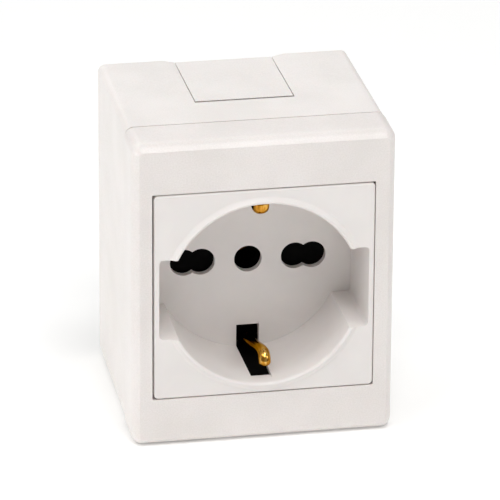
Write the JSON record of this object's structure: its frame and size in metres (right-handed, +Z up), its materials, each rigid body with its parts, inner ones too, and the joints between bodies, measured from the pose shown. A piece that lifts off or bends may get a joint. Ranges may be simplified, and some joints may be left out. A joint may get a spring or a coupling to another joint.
{
  "type": "surface mounted socket",
  "caption": "Surface mounted mains socket: off-white wall box and cover with a universal recessed outlet, side earth contacts, paired pin holes and a slide-out cable entry panel.",
  "frame": {"origin": "centre of the box's flat back, on the wall's surface", "axes": "+Y into the wall, -Y out of the front face, +Z up, +X to the right seen from the front"},
  "size_m": [0.0524, 0.0471, 0.065],
  "materials": {
    "cover_plastic": "fine spark-eroded texture",
    "box_plastic": "fine spark-eroded texture",
    "insert_plastic": "smooth satin",
    "carrier_plastic": "moulded matt",
    "brass_contacts": "bright rolled sheet",
    "brass_earth": "bright rolled strip",
    "zinc_screws": "zinc plated",
    "clamp_steel": "zinc plated",
    "spring_steel": "bright wire"
  },
  "bodies": {
    "socket": {"rear_box": "box_plastic", "front_cover": "cover_plastic", "socket_insert": "insert_plastic", "contact_carrier": "carrier_plastic", "rear_cap": "carrier_plastic", "live_contact": "brass_contacts", "neutral_contact": "brass_contacts", "earth_bracket": "brass_earth", "earth_sleeve": "brass_contacts", "earth_rivet": "brass_contacts", "shutter_spring": "spring_steel", "body_screws": "zinc_screws"},
    "panel": {"entry_panel": "box_plastic"},
    "shutter": {"safety_shutter": "carrier_plastic"},
    "live_screw": {"live_screw": "zinc_screws"},
    "live_clamp": {"live_clamp": "clamp_steel"},
    "neutral_screw": {"neutral_screw": "zinc_screws"},
    "neutral_clamp": {"neutral_clamp": "clamp_steel"},
    "earth_screw": {"earth_screw": "zinc_screws"},
    "earth_clamp": {"earth_clamp": "clamp_steel"}
  },
  "joints": [
    {"name": "entry_panel_slide", "type": "slide", "parent": "socket", "child": "panel", "axis": [0, 1, 0], "range_m": [0, 0.024]},
    {"name": "shutter_slide", "type": "slide", "parent": "socket", "child": "shutter", "axis": [0, 0, -1], "range_m": [0, 0.0062], "stiffness_N_per_m": 150, "springref_m": -0.003, "deforming": ["shutter_spring"]},
    {"name": "live_screw_turn", "type": "hinge", "parent": "socket", "child": "live_screw", "pos_m": [-0.0115, -0.009, -0.0125], "axis": [0, -1, 0], "range_deg": [0, 2340]},
    {"name": "live_clamp_slide", "type": "slide", "parent": "socket", "child": "live_clamp", "axis": [0, 1, 0], "range_m": [0, 0.0039]},
    {"name": "neutral_screw_turn", "type": "hinge", "parent": "socket", "child": "neutral_screw", "pos_m": [0.0115, -0.009, -0.0125], "axis": [0, -1, 0], "range_deg": [0, 2340]},
    {"name": "neutral_clamp_slide", "type": "slide", "parent": "socket", "child": "neutral_clamp", "axis": [0, 1, 0], "range_m": [0, 0.0039]},
    {"name": "earth_screw_turn", "type": "hinge", "parent": "socket", "child": "earth_screw", "pos_m": [0.0115, -0.009, 0.0125], "axis": [0, -1, 0], "range_deg": [0, 2340]},
    {"name": "earth_clamp_slide", "type": "slide", "parent": "socket", "child": "earth_clamp", "axis": [0, 1, 0], "range_m": [0, 0.0039]}
  ],
  "couplings": [
    {"joint": "live_screw_turn", "follows": "live_clamp_slide", "rad_per_m": 10472},
    {"joint": "neutral_screw_turn", "follows": "neutral_clamp_slide", "rad_per_m": 10472},
    {"joint": "earth_screw_turn", "follows": "earth_clamp_slide", "rad_per_m": 10472}
  ]
}
